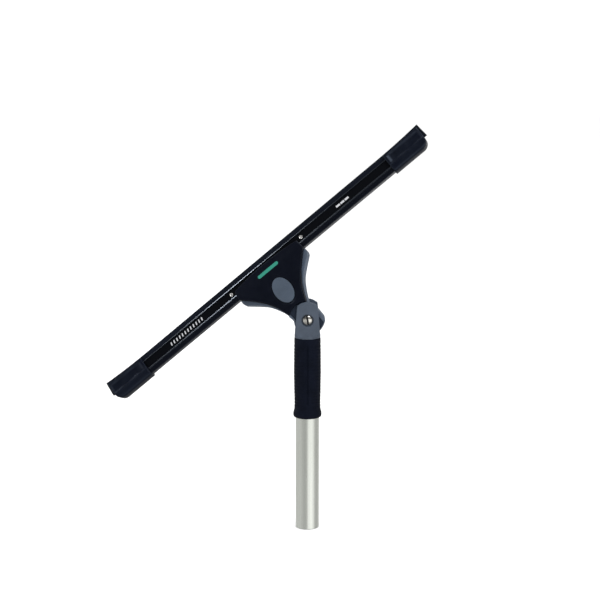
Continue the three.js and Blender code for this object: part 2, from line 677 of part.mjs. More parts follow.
const plateGroup = new THREE.Group();
plateGroup.position.set(0, 0, bend.height);
plateGroup.rotation.x = bend.angle;
head.add(plateGroup);
for (const [place, position] of Object.entries(screwPlaces)) {
  part(`cover_screw_${place}`, mended(coverScrewBody(position)), steel, plateGroup);
}
part('lever_pin', mended(rodAlongX(1.0, -10.8, 10.8, lever.pivotDepth, lever.pivotHeight)), steel, plateGroup);
part('button_spring', mended(coilSpring(3.0, 0.4, -4.2, 2.2, 3.5)), springSteel, plateGroup)
  .position.set(0, 0, button.height);
part('release_button', mended(releaseButton()), greyPlastic, plateGroup);
part('lock_lever', mended(lockLever()), blackPlastic, plateGroup);
part('lock_pin', mended(lockPin()), steel, plateGroup);
part('channel', mended(channelBody()), anodised, plateGroup);
part('blade_rubber', mended(bladeBody()), bladeRubber, plateGroup);
part('end_clip_left', mended(endClip(-1)), blackPlastic, plateGroup);
part('end_clip_right', mended(endClip(1)), blackPlastic, plateGroup);

export default squeegee;
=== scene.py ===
import json
import math

import bmesh
import bpy
from mathutils import Matrix, Vector


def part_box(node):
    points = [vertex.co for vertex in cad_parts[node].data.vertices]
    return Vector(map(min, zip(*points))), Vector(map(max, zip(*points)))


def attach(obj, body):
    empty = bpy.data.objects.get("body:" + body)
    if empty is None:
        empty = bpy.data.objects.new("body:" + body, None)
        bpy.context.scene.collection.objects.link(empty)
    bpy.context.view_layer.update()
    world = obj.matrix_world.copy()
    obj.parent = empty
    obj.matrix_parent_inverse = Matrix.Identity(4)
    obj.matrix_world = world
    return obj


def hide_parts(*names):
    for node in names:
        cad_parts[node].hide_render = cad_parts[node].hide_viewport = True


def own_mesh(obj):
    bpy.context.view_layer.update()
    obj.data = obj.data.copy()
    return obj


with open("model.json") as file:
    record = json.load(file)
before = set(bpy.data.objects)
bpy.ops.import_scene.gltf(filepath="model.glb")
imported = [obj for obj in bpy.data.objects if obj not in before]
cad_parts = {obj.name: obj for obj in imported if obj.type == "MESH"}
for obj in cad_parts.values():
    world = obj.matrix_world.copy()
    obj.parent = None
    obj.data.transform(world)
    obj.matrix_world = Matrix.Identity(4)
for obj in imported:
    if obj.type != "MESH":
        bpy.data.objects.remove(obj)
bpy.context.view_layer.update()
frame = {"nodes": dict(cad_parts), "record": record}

# A window cleaning squeegee in a plain studio. Shapes are given in millimetres and made in metres.
# Three sets of axes are used: the row's own; the head's, about the pivot; and the plate's, which
# starts at the head's bend line, with X along the channel and Z up to the blade's edge.

MM = 0.001

# Driving dimensions, in millimetres
BEND_HEIGHT = 16.0
SWEEP_RADIUS = 21.2
POLE_WALL = 1.5
GRIP_BORE = 13.55
FORK_OUTER, FORK_INNER = 13.5, 8.2
EAR_TOP, EAR_TOP_RADIUS = 20.4, 15.8
SLOT_RADIUS, SLOT_SHOULDER = 21.0, -15.0
RECESS_RADIUS, RECESS_FRONT, RECESS_REAR = 6.9, -10.9, 10.3
KNUCKLE_DEPTH, KNUCKLE_HALF, KNUCKLE_TOP = 7.7, 16, 20.7
KNUCKLE_BOTTOM, KNUCKLE_END_RADIUS = -18.6, 22.7
PLATE_FRONT, PLATE_BACK, PLATE_TOP = -4.9, 6.0, 48.1
JAW_FRONT, JAW_BACK, JAW_BOTTOM, JAW_TOP = 4.8, 8.0, 38, 64.5
COVER_FRONT, COVER_BACK, COVER_TOP, COVER_CROWN = -12.1, -5.25, 59.0, 3.3
COVER_INSIDE, LEVER_SLOT = -10.5, 4.4
CATCH_HEIGHT = 175.0
BUTTON_HEIGHT, BUTTON_HALF_WIDTH, BUTTON_HALF_HEIGHT, BUTTON_GAP = 23.0, 10.8, 16.0, 0.35
CHANNEL_HALF, CHANNEL_BOTTOM, CHANNEL_LIP, CHANNEL_BACK = 222.5, 48.4, 66.6, 4.5
CHANNEL_GROOVE, GROOVE_BOTTOM, CHANNEL_SEAT = -4.1, 56.3, 58.4
LOCK_HOLE_HEIGHT, LOCK_HOLE_SPACING = 60.2, 50.9
BLADE_EDGE, BLADE_END_RISE, BLADE_RISE_LENGTH = 73.7, 2.3, 60.0
BLADE_BASE, BLADE_BASE_HALF, BLADE_EDGE_HALF = 58.8, 230.1, 228.9
BLADE_MID, BLADE_THICKNESS, BULB_HEIGHT, BULB_RADIUS = 0.1, 1.7, 61.6, 2.1
CLIP_INNER, CLIP_OUTER, CLIP_BOTTOM, CLIP_TOP = 177.8, 226.4, 47.5, 71.2
CLIP_FRONT, CLIP_BACK = -8.2, 7.4


# --- Axes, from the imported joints


def joint(name):
    return next(j for j in frame["record"]["behaviour"]["joints"] if j["name"] == name)


def axes_at(origin, x_axis, y_axis):
    """A matrix with its origin and its X and Y axes given."""
    z_axis = x_axis.cross(y_axis)
    turn = Matrix((x_axis, y_axis, z_axis)).transposed().to_4x4()
    return Matrix.Translation(origin) @ turn


PIVOT = Vector(joint("head_swivel")["pos_m"])
ALONG_CHANNEL = Vector(joint("lever_rock")["axis"]).normalized()
INTO_PLATE = Vector(joint("button_press")["axis"]).normalized()
PIVOT_AXES = Matrix.Translation(PIVOT)
HEAD_AXES = axes_at(PIVOT, ALONG_CHANNEL, Vector((0, 1, 0)))
PLATE_AXES = axes_at(HEAD_AXES @ Vector((0, 0, BEND_HEIGHT * MM)), ALONG_CHANNEL, INTO_PLATE)
PLATE_IN_HEAD = HEAD_AXES.inverted() @ PLATE_AXES
BEND = math.acos(max(-1.0, min(1.0, INTO_PLATE.y)))


# --- Materials


def set_inputs(tree, node, inputs):
    """Sets a node's inputs. One that is given as a socket is linked; any other is a constant."""
    for name, value in inputs.items():
        if isinstance(value, bpy.types.NodeSocket):
            tree.links.new(value, node.inputs[name])
        else:
            node.inputs[name].default_value = value
    return node


def add_node(tree, kind, inputs):
    return set_inputs(tree, tree.nodes.new(f"ShaderNode{kind}"), inputs)


class Finish:
    """A Principled material whose colour, roughness and relief come from noise in object space."""

    def __init__(self, name, roughness, metallic=0.0, ior_level=0.5, sheen_of=(1.0, 1.0, 1.0)):
        self.material = bpy.data.materials.new(name)
        self.material.use_nodes = True
        self.tree = self.material.node_tree
        self.shader = self.tree.nodes["Principled BSDF"]
        set_inputs(self.tree, self.shader, {
            "Roughness": roughness, "Metallic": metallic, "Specular IOR Level": ior_level,
            "Specular Tint": (*sheen_of, 1.0),
        })
        self.place = add_node(self.tree, "TexCoord", {}).outputs["Object"]
        self.relief_below = {}

    def noise(self, scale, stretch=(1, 1, 1), detail=4.0):
        mapping = add_node(self.tree, "Mapping", {"Scale": stretch, "Vector": self.place})
        noise = add_node(self.tree, "TexNoise", {
            "Scale": scale, "Detail": detail, "Roughness": 0.5, "Vector": mapping.outputs["Vector"],
        })
        return noise.outputs["Fac"]

    def colour(self, dark, light, value):
        ramp = add_node(self.tree, "ValToRGB", {"Fac": value})
        for element, position, rgb in zip(ramp.color_ramp.elements, (0.3, 0.7), (dark, light)):
            element.position = position
            element.color = (*rgb, 1.0)
        set_inputs(self.tree, self.shader, {"Base Color": ramp.outputs["Color"]})

    def rough(self, value, low, high):
        span = add_node(self.tree, "MapRange", {
            "From Min": 0.3, "From Max": 0.7, "To Min": low, "To Max": high, "Value": value,
        })
        set_inputs(self.tree, self.shader, {"Roughness": span.outputs["Result"]})

    def relief(self, value, strength, distance_mm):
        """Adds a layer of relief over the layers before it."""
        bump = add_node(self.tree, "Bump", {
            "Strength": strength, "Distance": distance_mm * MM, "Height": value,
            **self.relief_below,
        })
        self.relief_below = {"Normal": bump.outputs["Normal"]}
        set_inputs(self.tree, self.shader, self.relief_below)


BLUE_SHEEN = (0.62, 0.76, 1.0)


def shade(rgb, factor):
    return tuple(min(1.0, channel * factor) for channel in rgb)


def moulded(name, rgb, roughness, ior_level, grain_strength=0.12, sheen_of=(1, 1, 1)):
    """Injection-moulded plastic: spark-eroded grain, slow changes of tone, and handled patches."""
    tone_spread, roughness_spread, grain_mm = 0.12, 0.07, 0.35
    finish = Finish(name, roughness, ior_level=ior_level, sheen_of=sheen_of)
    cloud = finish.noise(55.0, detail=3.0)
    finish.colour(shade(rgb, 1 - tone_spread), shade(rgb, 1 + tone_spread), cloud)
    patches = finish.noise(160.0, detail=5.0)
    finish.rough(patches, roughness - roughness_spread, roughness + roughness_spread)
    finish.relief(finish.noise(1 / (grain_mm * MM), detail=2.0), grain_strength, 0.05)
    finish.relief(finish.noise(90.0, detail=1.0), 0.05, 0.3)
    return finish.material


def grip_rubber_finish():
    """The grip: matt rubber with a fine pebbled skin."""
    rgb = (0.0026, 0.0034, 0.0085)
    finish = Finish("grip rubber", 0.62, ior_level=0.12, sheen_of=BLUE_SHEEN)
    finish.colour(shade(rgb, 0.8), shade(rgb, 1.25), finish.noise(70.0, detail=4.0))
    finish.rough(finish.noise(220.0, detail=5.0), 0.52, 0.74)
    finish.relief(finish.noise(2600.0, detail=3.0), 0.25, 0.06)
    finish.relief(finish.noise(500.0, detail=2.0), 0.10, 0.10)
    return finish.material


def blade_rubber_finish():
    """The blade: smooth extruded rubber with faint lines along X."""
    rgb = (0.0032, 0.0042, 0.0085)
    finish = Finish("blade rubber", 0.5, ior_level=0.2, sheen_of=BLUE_SHEEN)
    along = finish.noise(60.0, stretch=(0.15, 1, 1), detail=3.0)
    finish.colour(shade(rgb, 0.8), shade(rgb, 1.3), along)
    finish.rough(finish.noise(300.0, stretch=(0.2, 1, 1)), 0.42, 0.6)
    finish.relief(finish.noise(1800.0, stretch=(0.05, 1, 1)), 0.12, 0.04)
    return finish.material


def drawn_aluminium():
    """The pole: natural anodised tube with die lines along its length and faint handling marks."""
    finish = Finish("pole aluminium", 0.28, metallic=1.0)
    lines = finish.noise(2400.0, stretch=(1, 1, 0.004), detail=3.0)
    marks = finish.noise(26.0, stretch=(1, 1, 0.15))
    finish.colour((0.71, 0.735, 0.675), (0.85, 0.875, 0.815), marks)
    finish.rough(lines, 0.20, 0.36)
    finish.relief(lines, 0.10, 0.02)
    finish.relief(finish.noise(900.0, stretch=(1, 1, 0.03), detail=5.0), 0.05, 0.03)
    return finish.material


def black_anodised():
    """The channel: extruded, black anodised aluminium with fine die lines along X."""
    rgb = (0.0016, 0.0021, 0.0046)
    finish = Finish("black anodised aluminium", 0.24, ior_level=0.6, sheen_of=(0.75, 0.85, 1.0))
    lines = finish.noise(1500.0, stretch=(0.004, 1, 1), detail=3.0)
    finish.colour(shade(rgb, 0.8), shade(rgb, 1.3), finish.noise(40.0, stretch=(0.1, 1, 1)))
    finish.rough(lines, 0.17, 0.26)
    finish.relief(lines, 0.08, 0.02)
    return finish.material


def bright_steel(name, rgb, roughness):
    """Plated or polished steel with fine scratches."""
    finish = Finish(name, roughness, metallic=1.0)
    finish.colour(shade(rgb, 0.88), shade(rgb, 1.05), finish.noise(420.0, detail=4.0))
    finish.rough(finish.noise(900.0, detail=4.0), roughness - 0.06, roughness + 0.08)
    finish.relief(finish.noise(3200.0, stretch=(1, 1, 0.2)), 0.06, 0.02)
    return finish.material


def printed(name, rgb, roughness=0.5, ior_level=0.4):
    """Pad-printed ink, slightly uneven."""
    finish = Finish(name, roughness, ior_level=ior_level)
    finish.colour(shade(rgb, 0.86), shade(rgb, 1.0), finish.noise(1400.0, detail=4.0))
    finish.relief(finish.noise(3000.0), 0.1, 0.02)
    return finish.material


GREY_PLASTIC = moulded("grey plastic", (0.045, 0.062, 0.090), 0.48, 0.50)
# The head's grey is the fork's grey made about a third lighter: painted light, standing in for the
# light its wings and knuckle catch.
HEAD_PLASTIC_PAINTED_LIGHT = moulded("head plastic lightened as painted light", (0.060, 0.082, 0.119), 0.48, 0.50)
BUTTON_PLASTIC = moulded("button plastic", (0.052, 0.070, 0.098), 0.46, 0.25)
# Dark grey plastic for the friction plates: partly their own colour, and darkened further as
# painted shade where they sit between cover and fork.
FRICTION_PLASTIC_AND_SHADE = moulded(
    "dark grey plastic darkened as painted shade", (0.015, 0.021, 0.034), 0.52, 0.2, sheen_of=BLUE_SHEEN)
BLACK_PLASTIC = moulded(
    "black plastic", (0.0024, 0.0030, 0.0066), 0.40, 0.15, sheen_of=BLUE_SHEEN)
CLIP_PLASTIC = moulded(
    "clip plastic", (0.0022, 0.0032, 0.0080), 0.34, 0.42, grain_strength=0.08, sheen_of=BLUE_SHEEN)
GRIP_RUBBER = grip_rubber_finish()
BLADE_RUBBER = blade_rubber_finish()
POLE_METAL = drawn_aluminium()
ANODISED = black_anodised()
BLACK_FIELD = printed("matt black field", (0.0016, 0.0022, 0.0038), 0.55, 0.05)
SCREW_METAL = bright_steel("screw steel", (0.86, 0.84, 0.77), 0.24)
# Dark dull steel for the faces inside the screw's slot: painted shade, where the slot falls into
# shadow.
PAINTED_SLOT_SHADE = bright_steel("painted shade in the screw slot", (0.07, 0.07, 0.075), 0.55)
SPRING_METAL = bright_steel("spring steel", (0.45, 0.45, 0.46), 0.30)
BARE_RIM = bright_steel("bare countersink", (0.90, 0.90, 0.88), 0.28)
WHITE_INK = printed("white ink", (0.48, 0.49, 0.51))
GREEN_INK = printed("green ink", (0.012, 0.22, 0.155))


# --- Mesh tools


def add_object(name, data):
    item = bpy.data.objects.new(name, data)
    bpy.context.scene.collection.objects.link(item)
    return item


def make_object(name, corners, faces, material):
    """A closed mesh from corners in millimetres, with its faces turned outward."""
    mesh = bpy.data.meshes.new(name)
    mesh.from_pydata([Vector(corner) * MM for corner in corners], [], faces)
    body = bmesh.new()
    body.from_mesh(mesh)
    bmesh.ops.remove_doubles(body, verts=body.verts, dist=1e-7)
    bmesh.ops.recalc_face_normals(body, faces=body.faces)
    body.to_mesh(mesh)
    body.free()
    mesh.materials.append(material)
    return add_object(name, mesh)


def settle(piece):
    """Applies the piece's modifiers."""
    bpy.context.view_layer.update()
    evaluated = piece.evaluated_get(bpy.context.evaluated_depsgraph_get())
    mesh = bpy.data.meshes.new_from_object(evaluated)
    piece.modifiers.clear()
    piece.data = mesh


def boolean(piece, operation, tools):
    """Cuts the tools from the piece or joins them to it, then removes them."""
    for tool in tools:
        modifier = piece.modifiers.new("boolean", "BOOLEAN")
        modifier.operation = operation
        modifier.solver = "EXACT"
        modifier.object = tool
    settle(piece)
    for tool in tools:
        bpy.data.objects.remove(tool, do_unlink=True)


def carve(piece, *tools):
    boolean(piece, "DIFFERENCE", tools)


def weld(piece, *others):
    boolean(piece, "UNION", others)


def bevel(piece, width, segments, angle, clamp=True):
    modifier = piece.modifiers.new("bevel", "BEVEL")
    modifier.width = width * MM
    modifier.segments = segments
    modifier.limit_method = "ANGLE"
    modifier.angle_limit = math.radians(angle)
    modifier.use_clamp_overlap = clamp
    modifier.miter_outer = "MITER_ARC"
    settle(piece)


def smooth(piece, angle, weighted=True):
    mesh = piece.data
    mesh.shade_smooth()
    mesh.set_sharp_from_angle(angle=math.radians(angle))
    if weighted:
        modifier = piece.modifiers.new("weighted normals", "WEIGHTED_NORMAL")
        modifier.keep_sharp = True
        modifier.weight = 60


def place(piece, axes, body, replaces=()):
    """Sets a piece on its axes and its body, and hides the CAD nodes that it replaces."""
    piece.matrix_world = axes
    bpy.context.view_layer.update()
    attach(piece, body)
    if replaces:
        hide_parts(*replaces)


def grid_faces(rows, columns, wrap_rows=False, wrap_columns=False):
    """Quads of a grid whose corners are numbered row by row."""
    faces = []
    for row in range(rows if wrap_rows else rows - 1):
        for column in range(columns if wrap_columns else columns - 1):
            right = (column + 1) % columns
            above = (row + 1) % rows
            faces.append((
                row * columns + column, row * columns + right,
                above * columns + right, above * columns + column,
            ))
    return faces


def tube_faces(rows, columns):
    """The faces of a tube whose rows are rings, closed at both ends."""
    total = rows * columns
    ends = [tuple(range(columns)), tuple(range(total - columns, total))]
    return grid_faces(rows, columns, wrap_columns=True) + ends


def circle(count):
    """The cosine and sine of evenly spaced angles round one turn."""
    return [(math.cos(a), math.sin(a)) for a in (2 * math.pi * k / count for k in range(count))]


def turned(name, profile, material, axis="Z", segments=96, centre=(0, 0, 0)):
    """Turns [radius, height] pairs about an axis. A profile off the axis closes on itself."""
    on_axis = profile[0][0] == 0
    corners, faces, rings = [], [], []
    for radius, height in profile:
        count = 1 if radius == 0 else segments
        rings.append(range(len(corners), len(corners) + count))
        for cosine, sine in circle(segments)[:count]:
            a, b = radius * cosine, radius * sine
            corners.append({"X": (height, a, b), "Y": (a, height, b), "Z": (a, b, height)}[axis])
    pairs = list(zip(rings, rings[1:]))
    if not on_axis:
        pairs.append((rings[-1], rings[0]))
    for low, high in pairs:
        for step in range(segments):
            after = (step + 1) % segments
            if len(low) == 1:
                faces.append((low[0], high[step], high[after]))
            elif len(high) == 1:
                faces.append((low[step], low[after], high[0]))
            else:
                faces.append((low[step], low[after], high[after], high[step]))
    corners = [Vector(corner) + Vector(centre) for corner in corners]
    return make_object(name, corners, faces, material)


def rod(name, radius, low, high, centre=(0, 0, 0), segments=48):
    """A round bar along Y, used as a cutting or joining tool."""
    profile = [(0, low), (radius, low), (radius, high), (0, high)]
    return turned(name, profile, BLACK_PLASTIC, "Y", segments, centre)


def prism(name, outline, y0, y1, material):
    """An outline in the XZ plane, given thickness along Y."""
    count = len(outline)
    corners = [(x, y0, z) for x, z in outline] + [(x, y1, z) for x, z in outline]
    faces = [tuple(range(count)), tuple(range(2 * count - 1, count - 1, -1))]
    faces += [(i, (i + 1) % count, count + (i + 1) % count, count + i) for i in range(count)]
    return make_object(name, corners, faces, material)


def block(name, x0, x1, y0, y1, z0, z1):
    """A box, used as a cutting or joining tool."""
    return prism(name, [(x0, z0), (x1, z0), (x1, z1), (x0, z1)], y0, y1, BLACK_PLASTIC)


def spline(pairs, count):
    """Points along a smooth curve through the pairs."""
    result = []
    last = len(pairs) - 1
    for step in range(count + 1):
        place_along = step / count * last
        i = min(int(place_along), last - 1)
        t = place_along - i
        p0, p1, p2, p3 = (Vector(pairs[max(0, min(last, k))]) for k in (i - 1, i, i + 1, i + 2))
        v0, v1 = (p2 - p0) / 2, (p3 - p1) / 2
        cubic, square = 2 * p1 - 2 * p2 + v0 + v1, 3 * p2 - 3 * p1 - 2 * v0 - v1
        point = cubic * t ** 3 + square * t ** 2 + v0 * t + p1
        result.append(tuple(point))
    return result


def rounded(pairs, radii, steps=6):
    """A closed outline with each corner rounded by its radius."""
    result = []
    count = len(pairs)
    for i, radius in enumerate(radii):
        before, corner, after = (Vector(pairs[k % count]) for k in (i - 1, i, i + 1))
        towards_before = (before - corner).normalized()
        towards_after = (after - corner).normalized()
        half = towards_before.angle(towards_after) / 2
        if radius == 0 or half > math.radians(88):
            result.append(tuple(corner))
            continue
        reach = radius / math.tan(half)
        limit = 0.49 * min((before - corner).length, (after - corner).length)
        reach = min(reach, limit)
        start, end = corner + towards_before * reach, corner + towards_after * reach
        weight = math.sin(half)
        for step in range(steps + 1):
            t = step / steps
            blend = start * (1 - t) ** 2 + corner * (2 * weight * t * (1 - t)) + end * t ** 2
            total = (1 - t) ** 2 + 2 * weight * t * (1 - t) + t ** 2
            result.append(tuple(blend / total))
    return result


def arc(centre, radius, start, stop, steps):
    """Points on a circle between two angles in radians."""
    angles = [start + (stop - start) * step / steps for step in range(steps + 1)]
    return [(centre[0] + radius * math.cos(a), centre[1] + radius * math.sin(a)) for a in angles]


def mirrored(flank):
    """A closed symmetric outline from its right side, given from bottom to top."""
    return flank + [(-x, z) for x, z in reversed(flank) if x > 1e-6]


def ease(low, high, value):
    """Rises smoothly from 0 at low to 1 at high."""
    t = max(0.0, min(1.0, (value - low) / (high - low)))
    return t * t * (3 - 2 * t)


def bump(distance, width):
    """A smooth bump of height 1 at distance 0."""
    return math.exp(-((distance / width) ** 2))


def quarter_round(distance, radius):
    """How far a rounded edge falls away at a distance in from the edge."""
    if distance >= radius:
        return 0.0
    return radius - math.sqrt(max(0.0, radius ** 2 - (radius - distance) ** 2))


# --- Pole and handle


def make_pole():
    low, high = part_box("pole_tube")
    radius = (high.x - low.x) / 2 / MM
    inner, top = radius - POLE_WALL, high.z / MM
    edge = 0.25
    profile = [
        (inner, edge), (inner + edge, 0), (radius - edge, 0), (radius, edge), (radius, 60),
        (radius, top - edge), (radius - edge, top), (inner + edge, top), (inner, top - edge),
    ]
    pole = turned("pole", profile, POLE_METAL, segments=144)
    smooth(pole, 40)
    place(pole, Matrix(), "handle", ["pole_tube"])


# The grip's radius by its depth below the grip's top
GRIP_SWELL = [(0, 14.7), (20, 15.05), (38, 15.2), (58, 14.95), (72, 14.65), (84, 14.8)]
RIB_PITCH, RIB_GROOVE, RIB_START = 3.8, 0.42, 139.5
SLEEVE_BOTTOM, SLEEVE_STEP = 138.0, 0.38
THUMB_SLOT = 0.95


def swell(below_top):
    """The grip's radius without its ribs."""
    for (d0, r0), (d1, r1) in zip(GRIP_SWELL, GRIP_SWELL[1:]):
        if below_top <= d1:
            return r0 + (r1 - r0) * ease(d0, d1, below_top)
    return GRIP_SWELL[-1][1]


def grip_surface_radius(z, angle, top):
    """The ribbed sleeve's radius. The angle is measured from the front."""
    radius = swell(top - z)
    phase = (z - RIB_START) / RIB_PITCH
    from_groove = abs(phase - round(phase)) * RIB_PITCH
    ribbed = ease(SLEEVE_BOTTOM, SLEEVE_BOTTOM + 2, z) * (1 - ease(top - 6.5, top - 4.0, z))
    spine = math.exp(-((radius * angle / 4.6) ** 4))
    radius -= RIB_GROOVE * bump(from_groove, 0.62) * ribbed * (1 - 0.72 * spine)
    radius += 0.22 * spine * ease(142.0, 150.0, z)
    slot = math.exp(-((radius * angle / 0.95) ** 6))
    slot = slot * ease(143.5, 146.0, z) * (1 - ease(211.0, 213.5, z))
    return radius - THUMB_SLOT * slot


def make_grip():
    """The ribbed sleeve, from its rolled lip up, closed round its bore."""
    low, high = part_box("rubber_grip")
    bottom, top = low.z / MM, high.z / MM
    lip = [
        (GRIP_BORE, bottom + 0.5), (GRIP_BORE + 0.3, bottom + 0.1), (14.5, bottom),
        (15.2, bottom + 0.35), (15.72, bottom + 1.1), (15.93, bottom + 2.3),
        (15.97, bottom + 3.6), (15.85, bottom + 5.0), (15.5, bottom + 6.3),
        (15.1, bottom + 7.4), (14.85, bottom + 8.4),
    ]
    crown = [
        (14.66, top - 0.6), (14.5, top - 0.25), (14.2, top), (GRIP_BORE, top),
        (GRIP_BORE, bottom + 12),
    ]
    columns = 180
    count = int((top - 0.9 - SLEEVE_BOTTOM) / SLEEVE_STEP) + 1
    heights = [SLEEVE_BOTTOM + SLEEVE_STEP * k for k in range(count)]
    turns = [math.remainder(2 * math.pi * k / columns, 2 * math.pi) for k in range(columns)]
    rings = [(z, [radius] * columns) for radius, z in lip]
    rings += [(z, [grip_surface_radius(z, turn, top) for turn in turns]) for z in heights]
    rings += [(z, [radius] * columns) for radius, z in crown]
    corners = [
        (radius * sine, -radius * cosine, z)
        for z, radii in rings for radius, (cosine, sine) in zip(radii, circle(columns))
    ]
    grip = make_object("grip", corners, grid_faces(len(rings), columns, True, True), GRIP_RUBBER)
    catch_low, catch_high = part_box("cone_catch")
    height = (catch_low.z + catch_high.z) / 2 / MM
    carve(grip, rod("catch_hole", 3.9, 5, 20, (0, 0, height)))
    smooth(grip, 50, weighted=False)
    place(grip, Matrix(), "handle", ["rubber_grip"])


COLLAR_BOTTOM, COLLAR_TOP, COLLAR_RADIUS = -21.4, -13.4, 14.5
FLARE_TOP, FLARE_RADIUS = -12.0, 20.5


def ear_outline():
    """The fork's ears about the pivot, from the collar's foot up."""
    centre = EAR_TOP - EAR_TOP_RADIUS
    shoulder = (9.9, 17.0)
    start = math.atan2(shoulder[1] - centre, shoulder[0])
    top = arc((0, centre), EAR_TOP_RADIUS, start, math.pi / 2, 12)
    flank = [
        (14.3, COLLAR_BOTTOM + 0.9), (14.0, -14.9), (13.35, -8.0), (12.7, 0.0), (12.15, 7.0),
        (11.75, 12.6),
    ]
    corner = rounded([(11.75, 12.6), (11.3, 16.2), shoulder], [0, 2.0, 0], 5)[1:-1]
    return mirrored(flank + corner + top)


def make_fork():
    """The fork: ears cut round above the collar, the collar and spigot, and the head's slot."""
    base = (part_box("swivel_fork")[0].z - PIVOT.z) / MM
    radius, bottom, top = COLLAR_RADIUS, COLLAR_BOTTOM, COLLAR_TOP
    ears = prism("fork", ear_outline(), -FORK_OUTER, FORK_OUTER, GREY_PLASTIC)
    bevel(ears, 1.1, 4, 50)
    around_flare = turned("around_flare", [
        (radius, bottom - 0.2), (30, bottom - 0.2), (30, FLARE_TOP), (FLARE_RADIUS, FLARE_TOP),
    ], GREY_PLASTIC, segments=112)
    carve(ears, around_flare)
    collar = turned("collar", [
        (0, base), (9.7, base), (10.5, base + 0.8), (10.5, bottom), (radius - 0.4, bottom),
        (radius - 0.12, bottom + 0.12), (radius, bottom + 0.5), (radius, bottom + 2.4),
        (radius - 0.08, bottom + 3.4), (radius - 0.95, top - 0.6), (radius - 1.1, top), (0, top),
    ], GREY_PLASTIC, segments=112)
    weld(ears, collar)
    carve(
        ears,
        block("slot", -30, 30, -FORK_INNER, FORK_INNER, SLOT_SHOULDER, 40),
        rod("slot_floor", SLOT_RADIUS, -FORK_INNER, FORK_INNER, segments=112),
        rod("front_recess", RECESS_RADIUS, -20, RECESS_FRONT, segments=72),
        rod("rear_recess", RECESS_RADIUS, RECESS_REAR, 20, segments=72),
        rod("screw_hole", 2.8, -20, 20),
    )
    bevel(ears, 0.28, 2, 60, clamp=False)
    smooth(ears, 40)
    place(ears, PIVOT_AXES, "handle", ["swivel_fork"])


def make_pivot_screw():
    """The domed screw, with its slot turned a little from upright; the faces inside the slot are
    painted dark as shade.
    """
    low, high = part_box("pivot_screw")
    front, end = low.y / MM, high.y / MM
    head, dome, shank = 5.5, 2.3, 2.45
    under = front + 2.8
    profile = [(0, front)]
    profile += [(head * math.sin(a), front + dome * (1 - math.cos(a))) for a in (
        math.radians(step) for step in range(8, 81, 8)
    )]
    profile += [
        (head, front + 2.1), (head, front + 2.6), (head - 0.2, under),
        (shank, under), (shank, end - 0.6), (shank - 0.6, end), (0, end),
    ]
    screw = turned("pivot_screw_visual", profile, SCREW_METAL, "Y", 96)
    slot_half, slot_depth, slot_turn = 1.0, 2.3, math.radians(-9)
    slot = block("screw_slot", -slot_half, slot_half, front - 2, front + slot_depth, -10, 10)
    slot.data.transform(Matrix.Rotation(slot_turn, 4, "Y"))
    carve(screw, slot)
    bevel(screw, 0.12, 2, 50, clamp=False)
    # The faces inside the slot take the painted shade.
    screw.data.materials.append(PAINTED_SLOT_SHADE)
    across = Vector((math.cos(slot_turn), 0.0, -math.sin(slot_turn)))
    for face in screw.data.polygons:
        beside_middle = abs(face.center.dot(across)) / MM
        if beside_middle < slot_half + 0.03 and face.center.y / MM < front + slot_depth + 0.1:
            face.material_index = 1
    smooth(screw, 40)
    place(screw, PIVOT_AXES, "handle", ["pivot_screw"])


# --- Head moulding

WING_FLANK = [(12.9, -8.3), (14.4, 0.2), (18.6, 10), (25.1, 21), (32.7, 28.9), (41.1, 36.2)]
# X, Z and the depth of the surface that each cover screw is sunk in
SCREW_PLACES = [
    (-34, 44.5, JAW_BACK), (34, 44.5, JAW_BACK), (-15.4, 17, PLATE_BACK), (15.4, 17, PLATE_BACK),
]


def knuckle_outline(margin, neck_margin, top):
    """The knuckle about the pivot, smaller by one margin round its end and another at its neck."""
    half = KNUCKLE_HALF - margin
    end_radius = KNUCKLE_END_RADIUS - margin
    centre = KNUCKLE_END_RADIUS + KNUCKLE_BOTTOM
    end_half = half - 3.5
    spread = math.asin(end_half / end_radius)
    end = arc((0, centre), end_radius, -math.pi / 2, -math.pi / 2 + spread, 12)
    start = end[-1][1]
    p0, p1, p2 = Vector((end_half, start)), Vector((half, start + 1.9)), Vector((half, start + 6.4))
    corner = [
        tuple(p0 * (1 - t) ** 2 + p1 * (2 * t * (1 - t)) + p2 * t ** 2)
        for t in (0.125 * k for k in range(1, 9))
    ]
    neck, shoulder = 13.0 - neck_margin, 14.0 - neck_margin
    waist = spline([(half, 0), (half - 0.5, 3.4), (neck + 0.5, 7.2), (neck, 9.5),
                    (shoulder, math.sqrt(top ** 2 - shoulder ** 2))], 20)
    angle = math.atan2(waist[-1][1], waist[-1][0])
    crown = arc((0, 0), top, angle, math.pi / 2, 16)[1:]
    return mirrored(end + corner + waist + crown)


DISH_HALF, DISH_DEPTH = 12.0, 1.8


def dish_prism(name, margin, y0, y1):
    """The recess in the knuckle's faces: straight sides, and an end that follows the knuckle's."""
    outline = knuckle_outline(1.2 + margin, 2.4 + margin, SWEEP_RADIUS + 0.3 - margin)
    half = DISH_HALF - margin
    shape = prism(name, outline, y0, y1, FRICTION_PLASTIC_AND_SHADE)
    carve(
        shape,
        block("right_side", half, half + 20, y0 - 1, y1 + 1, -30, 30),
        block("left_side", -half - 20, -half, y0 - 1, y1 + 1, -30, 30),
    )
    return shape


def make_friction_plates():
    """The thin plates in the knuckle's recesses, dark partly in their own colour and partly as
    painted shade, each with a raised ring round the screw.
    """
    sheet_back, sheet_front, ring_front = 6.2, 7.2, 7.9
    for name, side in (("front", -1), ("rear", 1)):
        y0, y1 = sorted((side * sheet_back, side * sheet_front))
        plate = dish_prism(f"{name}_friction_plate_visual", 0.25, y0, y1)
        r0, r1 = sorted((side * (sheet_front - 0.3), side * ring_front))
        weld(plate, rod("ring", 8.5, r0, r1, segments=64))
        carve(plate, rod("bore", 4.7, -20, 20, segments=48))
        bevel(plate, 0.15, 2, 50, clamp=False)
        smooth(plate, 40)
        place(plate, HEAD_AXES, "head", [f"{name}_friction_plate"])


